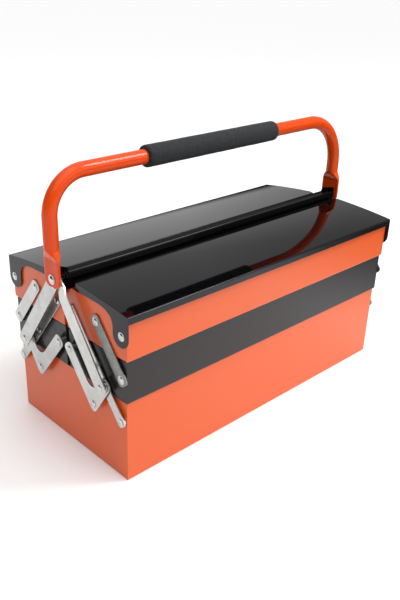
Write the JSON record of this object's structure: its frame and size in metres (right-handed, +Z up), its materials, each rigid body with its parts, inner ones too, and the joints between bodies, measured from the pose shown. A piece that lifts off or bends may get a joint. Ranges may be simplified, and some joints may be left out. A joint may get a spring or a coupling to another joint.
{
  "type": "cantilever tool box",
  "caption": "Steel cantilever tool box with folding trays on riveted scissor links, sloping hinged lids, a centre rail and a swinging tube handle with a foam grip.",
  "frame": {"origin": "Middle of the footprint, on the underside of the base tray.", "axes": "X runs along the length with the right end at +X, the front is at -Y, Z is up."},
  "size_m": [0.5198, 0.2304, 0.3495],
  "materials": {
    "orange_paint": "glossy orange powder paint",
    "orange_tube": "glossy orange powder paint on tube",
    "black_paint": "satin black powder paint",
    "black_lids": "high-gloss black paint",
    "zinc_steel": "bright zinc-plated steel strip",
    "rivet_steel": "domed zinc-plated rivets and plain washers",
    "foam": "matte charcoal foam sleeve"
  },
  "bodies": {
    "base": {"base_tray": "orange_paint", "base_rivets": "rivet_steel", "base_spacers": "rivet_steel"},
    "front_long_arms": {"front_left_long_arm": "zinc_steel", "front_right_long_arm": "zinc_steel"},
    "front_middle": {"front_middle_tray": "black_paint", "front_middle_rivets": "rivet_steel", "front_middle_spacers": "rivet_steel"},
    "front_upper": {"front_upper_tray": "orange_paint", "front_upper_rivets": "rivet_steel", "front_lid_rivets": "rivet_steel", "front_lid_washers": "rivet_steel"},
    "front_lid_body": {"front_lid": "black_lids"},
    "front_short_links": {"front_left_short_link": "zinc_steel", "front_right_short_link": "zinc_steel"},
    "front_v_plates": {"front_left_v_plate": "zinc_steel", "front_right_v_plate": "zinc_steel"},
    "front_handle_arms": {"front_left_handle_arm": "zinc_steel", "front_right_handle_arm": "zinc_steel", "front_arm_rivets": "rivet_steel", "front_arm_washers": "rivet_steel"},
    "rear_long_arms": {"rear_left_long_arm": "zinc_steel", "rear_right_long_arm": "zinc_steel"},
    "rear_middle": {"rear_middle_tray": "black_paint", "rear_middle_rivets": "rivet_steel", "rear_middle_spacers": "rivet_steel"},
    "rear_upper": {"rear_upper_tray": "orange_paint", "rear_upper_rivets": "rivet_steel", "rear_lid_rivets": "rivet_steel", "rear_lid_washers": "rivet_steel"},
    "rear_lid_body": {"rear_lid": "black_lids"},
    "rear_short_links": {"rear_left_short_link": "zinc_steel", "rear_right_short_link": "zinc_steel"},
    "rear_v_plates": {"rear_left_v_plate": "zinc_steel", "rear_right_v_plate": "zinc_steel"},
    "rear_handle_arms": {"rear_left_handle_arm": "zinc_steel", "rear_right_handle_arm": "zinc_steel", "rear_arm_rivets": "rivet_steel", "rear_arm_washers": "rivet_steel"},
    "carrier": {"centre_rail": "black_lids", "handle_pins": "rivet_steel", "handle_bushes": "rivet_steel"},
    "handle": {"handle_tube": "orange_tube", "foam_grip": "foam"}
  },
  "joints": [
    {"name": "front_fold", "type": "hinge", "parent": "base", "child": "front_long_arms", "pos_m": [0, -0.1, 0.0785], "axis": [1, 0, 0], "range_deg": [0, 77.5]},
    {"name": "front_middle_pivot", "type": "hinge", "parent": "front_long_arms", "child": "front_middle", "pos_m": [0, -0.057, 0.132], "axis": [1, 0, 0], "range_deg": [-77.6, 0.1]},
    {"name": "front_upper_pivot", "type": "hinge", "parent": "front_long_arms", "child": "front_upper", "pos_m": [0, -0.014, 0.1855], "axis": [1, 0, 0], "range_deg": [-77.6, 0.1]},
    {"name": "front_short_link_pivot", "type": "hinge", "parent": "front_middle", "child": "front_short_links", "pos_m": [0, -0.1025, 0.1344], "axis": [1, 0, 0], "range_deg": [-0.1, 77.6]},
    {"name": "front_v_plate_pivot", "type": "hinge", "parent": "base", "child": "front_v_plates", "pos_m": [0, -0.0543, 0.0817], "axis": [1, 0, 0], "range_deg": [-0.1, 77.6]},
    {"name": "front_lid_hinge", "type": "hinge", "parent": "front_upper", "child": "front_lid_body", "pos_m": [0, -0.104, 0.1874], "axis": [1, 0, 0], "range_deg": [0, 105]},
    {"name": "rear_fold", "type": "hinge", "parent": "base", "child": "rear_long_arms", "pos_m": [0, 0.1, 0.0785], "axis": [-1, 0, 0], "range_deg": [0, 77.5]},
    {"name": "rear_middle_pivot", "type": "hinge", "parent": "rear_long_arms", "child": "rear_middle", "pos_m": [0, 0.057, 0.132], "axis": [-1, 0, 0], "range_deg": [-77.6, 0.1]},
    {"name": "rear_upper_pivot", "type": "hinge", "parent": "rear_long_arms", "child": "rear_upper", "pos_m": [0, 0.014, 0.1855], "axis": [-1, 0, 0], "range_deg": [-77.6, 0.1]},
    {"name": "rear_short_link_pivot", "type": "hinge", "parent": "rear_middle", "child": "rear_short_links", "pos_m": [0, 0.1025, 0.1344], "axis": [-1, 0, 0], "range_deg": [-0.1, 77.6]},
    {"name": "rear_v_plate_pivot", "type": "hinge", "parent": "base", "child": "rear_v_plates", "pos_m": [0, 0.0543, 0.0817], "axis": [-1, 0, 0], "range_deg": [-0.1, 77.6]},
    {"name": "rear_lid_hinge", "type": "hinge", "parent": "rear_upper", "child": "rear_lid_body", "pos_m": [0, 0.104, 0.1874], "axis": [-1, 0, 0], "range_deg": [0, 105]},
    {"name": "rail_drop", "type": "slide", "parent": "base", "child": "carrier", "axis": [0, 0, -1], "range_m": [-0.0002, 0.06269]},
    {"name": "front_handle_arm_pivot", "type": "hinge", "parent": "carrier", "child": "front_handle_arms", "pos_m": [0, 0, 0.2212], "axis": [1, 0, 0], "range_deg": [-9.56, 0.1]},
    {"name": "rear_handle_arm_pivot", "type": "hinge", "parent": "carrier", "child": "rear_handle_arms", "pos_m": [0, 0, 0.2212], "axis": [-1, 0, 0], "range_deg": [-9.56, 0.1]},
    {"name": "handle_swing", "type": "hinge", "parent": "carrier", "child": "handle", "pos_m": [0, 0, 0.2212], "axis": [1, 0, 0], "range_deg": [-85, 85]}
  ],
  "couplings": [
    {"joint": "front_middle_pivot", "follows": "front_fold", "ratio": -1},
    {"joint": "front_upper_pivot", "follows": "front_fold", "ratio": -1},
    {"joint": "front_short_link_pivot", "follows": "front_fold", "ratio": 1},
    {"joint": "front_v_plate_pivot", "follows": "front_fold", "ratio": 1},
    {"joint": "rear_fold", "follows": "front_fold", "ratio": 1},
    {"joint": "rear_middle_pivot", "follows": "front_fold", "ratio": -1},
    {"joint": "rear_upper_pivot", "follows": "front_fold", "ratio": -1},
    {"joint": "rear_short_link_pivot", "follows": "front_fold", "ratio": 1},
    {"joint": "rear_v_plate_pivot", "follows": "front_fold", "ratio": 1},
    {"joint": "rail_drop", "follows": "front_fold", "m_per_rad": 0.046127},
    {"joint": "front_handle_arm_pivot", "follows": "front_fold", "ratio": -0.12078},
    {"joint": "rear_handle_arm_pivot", "follows": "front_fold", "ratio": -0.12078}
  ]
}
